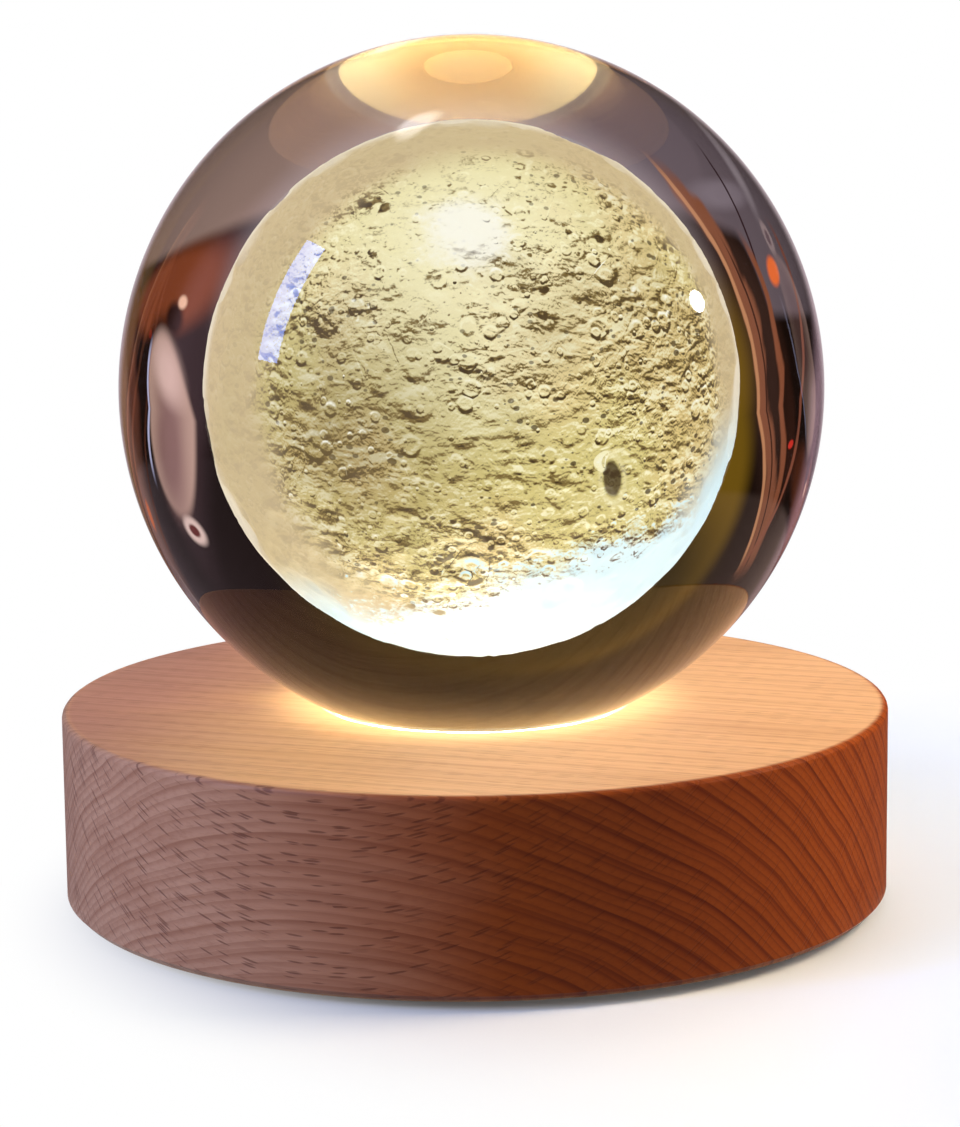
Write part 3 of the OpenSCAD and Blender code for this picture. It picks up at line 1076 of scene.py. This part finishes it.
class LAMP_OT_studio(bpy.types.Operator):
    """Pale floor, soft lamps, dark surround and the camera"""

    bl_idname = "moon_lamp.studio"
    bl_label = "Studio"

    def execute(self, context):
        look = context.scene.moon_lamp_studio
        self.camera(context, look)
        self.floor(look)
        self.surround()
        self.lamps()
        self.world(context)
        context.scene.view_settings.view_transform = "Standard"
        return {"FINISHED"}

    def camera(self, context, look):
        pitch = look.camera_pitch
        back = Vector((0.0, -math.cos(pitch), math.sin(pitch)))
        bpy.ops.object.camera_add(location=LOOK_AT + back * look.camera_distance)
        camera = bpy.context.object
        camera.name = "camera"
        turn = (-back).to_track_quat("-Z", "Y").to_matrix()
        roll = Matrix.Rotation(look.camera_roll, 3, "Z")
        camera.rotation_euler = (turn @ roll).to_euler()
        camera.data.lens = look.camera_lens
        camera.data.sensor_width = SENSOR_WIDTH
        camera.data.clip_start = 0.01
        context.scene.camera = camera

    def floor(self, look):
        """Floor that keeps the shadow near the lamp, with painted shade at the right, and is
        white further off.
        """
        finish = Finish("floor", roughness=0.9)
        x, y = finish.parts(finish.place())[:2]
        # Painted shade at the right, darker and bluer against the warm lamp.
        right = finish.step(x, *RIGHT_SHADE_SPAN)
        finish.set(base_color=finish.mix(right, look.floor_colour, look.floor_right_shade))
        far = finish.step((x * x + y * y).root() - FADE_LEAN * x, *FADE)
        lit = Wire(finish, finish.shader.outputs["BSDF"])
        lift = finish.node("Emission", {"Strength": 0.06})
        near = finish.node("AddShader", {0: lit, 1: lift})
        pale = finish.either(far, near, finish.node("Emission"))
        dim = finish.node("BsdfDiffuse", {"Color": (0.3, 0.28, 0.27)})
        shown = finish.either(seen_rays(finish), dim, pale)
        # From below, the floor is clear, so that the underside shows.
        under = finish.node("NewGeometry", output="Backfacing")
        clear = finish.node("BsdfTransparent")
        finish.surface(finish.either(under, shown, clear))
        deselect()
        bpy.ops.mesh.primitive_circle_add(
            vertices=96, radius=FLOOR_RADIUS, fill_type="NGON", location=(0, 0, 0)
        )
        floor = bpy.context.object
        floor.name = "floor"
        floor.data.materials.append(finish.material)

    def surround(self):
        """Dark room round the lamp, seen only in glass and gloss."""
        deselect()
        bpy.ops.mesh.primitive_uv_sphere_add(
            segments=96, ring_count=48, radius=ROOM_RADIUS, location=(0, 0, 0)
        )
        bpy.ops.object.mode_set(mode="EDIT")
        bpy.ops.mesh.select_all(action="SELECT")
        bpy.ops.mesh.bisect(
            plane_co=(0, 0, ROOM_FLOOR), plane_no=(0, 0, -1), clear_outer=True
        )
        bpy.ops.mesh.select_all(action="DESELECT")
        bpy.ops.mesh.select_mode(type="EDGE")
        bpy.ops.mesh.select_non_manifold()
        bpy.ops.mesh.extrude_edges_move()
        bpy.ops.transform.resize(value=(ROOM_HOLE, ROOM_HOLE, 1.0))
        bpy.ops.object.mode_set(mode="OBJECT")
        room = bpy.context.object
        room.name = "surround"
        room.data.materials.append(Surround().material)
        room.visible_camera = False
        room.visible_diffuse = False
        room.visible_shadow = False
        room.visible_volume_scatter = False

    def lamps(self):
        """Two lamps show in the ball; three soft ones only light the scene."""
        for name, place, size, watts, colour in (
            ("tall", (-0.52, -0.221, 0.345), (0.085, 0.37), 1.3, (0.16, 0.33, 1.0)),
            ("small", (0.581, -0.076, 0.29), (0.062, 0.062), 0.24, (0.85, 0.93, 1.0)),
            ("overhead", (0.1, 0.4, 0.6), (0.4, 0.4), 1.6, (1.0, 0.96, 0.9)),
            ("cool_side", (-0.5, -0.35, 0.26), (0.3, 0.3), 2.5, (0.66, 0.75, 1.0)),
            ("warm_side", (0.22, 0.0, 0.19), (0.1, 0.1), 0.72, (1.0, 0.78, 0.54)),
        ):
            bpy.ops.object.light_add(type="AREA", location=place)
            lamp = bpy.context.object
            lamp.name = name
            aim(lamp, BALL_CENTRE)
            lamp.data.shape = "ELLIPSE" if name == "small" else "RECTANGLE"
            lamp.data.size, lamp.data.size_y = size
            lamp.data.energy = watts
            lamp.data.color = colour
            lamp.visible_glossy = name in ("tall", "small")
            lamp.visible_transmission = False
            lamp.visible_camera = False

    def world(self, context):
        world = bpy.data.worlds.new("studio")
        context.scene.world = world
        world.use_nodes = True
        sky = Graph(world.node_tree)
        dim, pale = [
            sky.node("Background", {"Color": (1, 1, 1), "Strength": strength})
            for strength in (0.3, 1.0)
        ]
        sky.surface(sky.either(seen_rays(sky), dim, pale), "World Output")


class Surround(Finish):
    """The room's glow: soft shapes, placed by their turn and rise in degrees."""

    def __init__(self):
        super().__init__("surround")
        way = self.vector("SUBTRACT", self.place(), tuple(BALL_CENTRE))
        way = self.vector("NORMALIZE", way)
        x, y, z = self.parts(way)
        self.turn = x.math("ARCTAN2", x, y) * math.degrees(1)
        self.rise = z.math("ARCSINE", z) * math.degrees(1)
        self.ragged = self.noise(self.vector("MULTIPLY", way, (6, 6, 1.5)), 1.0, 3.0) - 0.5
        glow = self.node("Emission", {"Color": self.shapes(self.room())})
        self.surface(glow)

    def room(self):
        """Pale table, dark walls and a brown ceiling."""
        table = self.mix(
            self.step(self.turn, -12, 8), display(106, 92, 98), display(148, 122, 112)
        )
        edge = self.rise - self.step(self.turn, -30, -40) * 8
        colour = self.mix(self.step(edge, -23, -21), table, display(22, 12, 8))
        colour = self.mix(self.step(self.rise, 20, 36), colour, display(10, 7, 2))
        return self.mix(self.step(self.rise, 42, 70), colour, display(34, 18, 4))

    def spot(self, at, size, soft=0.35, tilt=0.0):
        """A soft oval: where it is, its half sizes and its tilt, in degrees."""
        side = self.turn - at[0]
        over = self.rise - at[1]
        cosine, sine = math.cos(math.radians(tilt)), math.sin(math.radians(tilt))
        along = (side * cosine + over * sine) / size[0]
        up = (over * cosine - side * sine) / size[1]
        away = (along * along + up * up).root()
        return self.step(away, 1 - soft, 1 + soft, 1.0, 0.0)

    def stroke(self, turns, width, low, high):
        """A soft, ragged band from low to high: its turns at rises of -20, 0 and 20."""
        lower, level, upper = turns
        lean = (upper - lower) / (2 * STROKE_RISE)
        bend = (upper + lower - 2 * level) / (2 * STROKE_RISE**2)
        curve = (self.rise * bend + lean) * self.rise + level
        away = self.turn - curve + self.ragged * 4 * width
        away = self.vector("LENGTH", away, output=1)
        ends = self.step(self.rise, low - 2, low + 2)
        ends = ends * self.step(self.rise, high + 3, high - 3)
        return self.step(away, width * 1.4, width * 0.5) * ends

    def shapes(self, colour):
        """Lays the shapes over the room, each named by what it shows in the ball."""
        spot, stroke = self.spot, self.stroke
        for shape, *form, shade in (
            # Pale parts of the room at both sides.
            (spot, (74, 12), (12, 30), 0.5, (160, 112, 96)),
            (spot, (-80, 10), (14, 36), 0.5, (205, 165, 180)),
            # Olive light low in the ball.
            (spot, (-12, 5), (25, 25), 0.1, (112, 84, 20)),
            (spot, (-6, 17), (26, 15), 0.3, (52, 40, 8)),
            # Red-brown at the left, with a small light.
            (spot, (40, -17), (17, 4.6), 0.3, 5, (132, 66, 38)),
            (spot, (37, -14.2), (2.8, 1.8), 0.4, (40, 18, 10)),
            (spot, (34.3, -15.8), (1.3, 0.7), 0.4, (255, 200, 170)),
            (spot, (61, -8), (4, 13), 0.5, (104, 58, 42)),
            # Pale oval at the left: rim, body, grey middle, bright end and cool edge.
            (spot, (43.5, -0.3), (9.4, 14.4), 0.12, -12, (30, 16, 12)),
            (spot, (43.3, -0.5), (7.6, 12.6), 0.1, -12, (190, 154, 140)),
            (spot, (44, 2), (4.6, 9), 0.6, -12, (138, 102, 96)),
            (spot, (41, -8), (4.2, 3.6), 0.7, -12, (228, 190, 180)),
            (stroke, (38.16, 52.4, 48.56), 0.8, -11, 7, (196, 196, 232)),
            # Small ring under the oval.
            (spot, (41.6, 13.4), (3.2, 2), 0.3, (232, 200, 190)),
            (spot, (41.6, 13.4), (1.6, 0.9), 0.3, (96, 32, 22)),
            # Grey streaks and a dark line at the upper right.
            (spot, (-40.5, -35), (2.4, 8), 0.5, (158, 144, 150)),
            (spot, (-31, -26.5), (8, 1.6), 0.5, 15, (134, 120, 128)),
            (stroke, (-35.0, -43.0, -51.0), 0.5, -32, -16, (50, 30, 34)),
            # Copper bands at the right, with a bright and a dark line.
            (stroke, (-26.75, -41.3, -45.31), 2.9, -26, 22, (134, 80, 56)),
            (stroke, (-25.05, -39.6, -43.61), 0.8, -26, 20, (196, 136, 96)),
            (stroke, (-27.45, -42.0, -46.01), 0.4, -20, 22, (48, 22, 14)),
            (stroke, (-34.27, -46.7, -46.03), 1.7, -21, 16, (142, 82, 56)),
            (stroke, (-50.4, -55.0, -44.69), 1.3, -25, 20, (140, 80, 60)),
            # An orange and a red light at the right.
            (spot, (-41.2, -19.1), (2.4, 1.7), 0.3, (255, 120, 60)),
            (spot, (-51.3, 3.7), (1.2, 0.6), 0.3, (220, 50, 40)),
            # The room's pale middle.
            (spot, (0, -8), (23, 19), 0.3, (196, 180, 186)),
        ):
            colour = self.mix(shape(*form), colour, display(*shade))
        # A strip that glints at the moon's upper limb.
        return self.mix(spot((-46, 74), (22, 3), 0.4), colour, (6.0, 6.0, 6.0))


# -------- panel and registration


class LAMP_PT_panel(bpy.types.Panel):
    """Lists the lamp's pieces and settings"""

    bl_label = "Moon Lamp"
    bl_idname = "LAMP_PT_panel"
    bl_space_type = "VIEW_3D"
    bl_region_type = "UI"
    bl_category = "Moon Lamp"

    def draw(self, context):
        layout = self.layout
        for operator in OPERATORS:
            layout.operator(operator.bl_idname)
        for key, group in SETTINGS.items():
            box = layout.box()
            box.label(text=key.replace("moon_lamp_", "").title())
            for name in group.__annotations__:
                box.prop(getattr(context.scene, key), name)


SETTINGS = {
    "moon_lamp_crystal": CrystalSettings,
    "moon_lamp_moon": MoonSettings,
    "moon_lamp_base": BaseSettings,
    "moon_lamp_light": LightSettings,
    "moon_lamp_studio": StudioSettings,
}
OPERATORS = (
    LAMP_OT_crystal_ball,
    LAMP_OT_engraved_moon,
    LAMP_OT_wooden_base,
    LAMP_OT_light,
    LAMP_OT_power,
    LAMP_OT_underside,
    LAMP_OT_studio,
)
CLASSES = (*SETTINGS.values(), *OPERATORS, LAMP_PT_panel)


def register():
    for kind in CLASSES:
        bpy.utils.register_class(kind)
    for key, group in SETTINGS.items():
        setattr(bpy.types.Scene, key, PointerProperty(type=group))


def unregister():
    for key in SETTINGS:
        delattr(bpy.types.Scene, key)
    for kind in reversed(CLASSES):
        bpy.utils.unregister_class(kind)


def main():
    register()
    bpy.ops.moon_lamp.crystal_ball()
    bpy.ops.moon_lamp.engraved_moon()
    bpy.ops.moon_lamp.wooden_base()
    bpy.ops.moon_lamp.light()
    bpy.ops.moon_lamp.power()
    bpy.ops.moon_lamp.underside()
    bpy.ops.moon_lamp.studio()


if __name__ == "__main__":
    main()
